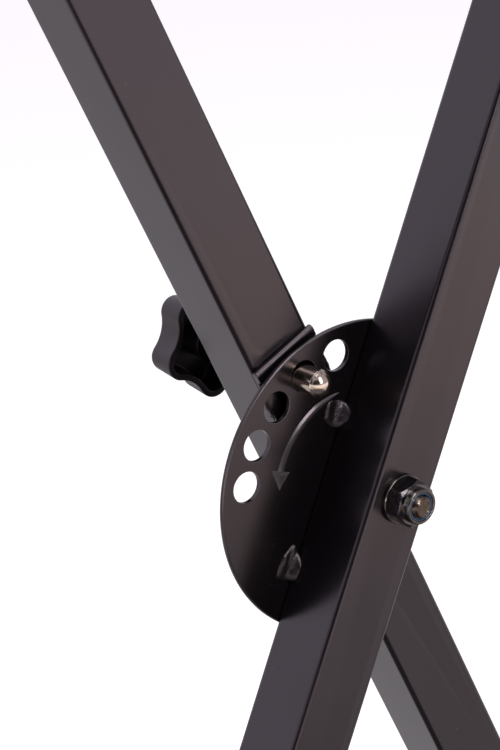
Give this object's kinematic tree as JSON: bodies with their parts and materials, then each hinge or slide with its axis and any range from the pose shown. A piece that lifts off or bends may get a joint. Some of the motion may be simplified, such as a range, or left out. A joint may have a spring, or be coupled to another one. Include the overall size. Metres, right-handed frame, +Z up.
{
  "type": "folding keyboard stand",
  "caption": "Black X-frame folding keyboard stand of square tube with a spring pull pin in a holed locking plate.",
  "frame": {"origin": "on the floor, straight under the pivot, in the middle of the footprint", "axes": "+X across the stand from one foot bar to the other, +Y from the nut's side to the knob's side, along the foot bars and arms, +Z up"},
  "size_m": [0.4538, 0.454, 0.9134],
  "materials": {
    "paint": "satin black",
    "black_steel": "black zinc",
    "zinc": "bright zinc",
    "nickel": "nickel plated",
    "brass": "plain",
    "rubber": "matt",
    "plastic": "satin black",
    "nylon": "blue nylon"
  },
  "bodies": {
    "rear_frame": {"rear_foot_caps": "rubber", "rear_leg": "paint", "rear_foot_saddle": "paint", "rear_arm_saddle": "paint", "rear_saddle_welds": "paint", "rear_foot_bar": "paint", "rear_arm_bar": "paint", "rear_arm_plugs": "plastic", "rear_grip_sleeves": "rubber", "rear_bar_bolts": "black_steel", "rear_bar_nuts": "black_steel", "rear_arc_washers": "black_steel", "rear_leg_sleeve": "zinc", "pin_guide": "paint", "pin_guide_welds": "paint", "pin_housing": "paint", "pull_spring": "zinc", "pivot_bolt": "black_steel", "pivot_nut": "black_steel", "nut_lock_ring": "nylon", "pivot_washers": "black_steel", "pivot_spacer": "plastic"},
    "front_frame": {"front_foot_caps": "rubber", "front_leg": "paint", "front_foot_saddle": "paint", "front_arm_saddle": "paint", "front_saddle_welds": "paint", "front_foot_bar": "paint", "front_arm_bar": "paint", "front_arm_plugs": "plastic", "front_grip_sleeves": "rubber", "front_bar_bolts": "black_steel", "front_bar_nuts": "black_steel", "front_arc_washers": "black_steel", "front_leg_sleeve": "zinc", "lock_plate": "paint", "lock_plate_welds": "paint"},
    "pull_pin": {"lock_pin": "nickel", "pull_knob": "plastic", "knob_insert": "brass"}
  },
  "joints": [
    {"name": "leg_fold", "type": "hinge", "parent": "rear_frame", "child": "front_frame", "pos_m": [0, 0, 0.45803], "axis": [0, 1, 0], "range_deg": [-44, 54], "deforming": ["lock_pin"]},
    {"name": "pin_pull", "type": "slide", "parent": "rear_frame", "child": "pull_pin", "axis": [0, 1, 0], "range_m": [0, 0.016], "stiffness_N_per_m": 800, "springref_m": -0.01, "deforming": ["pull_spring"]}
  ]
}
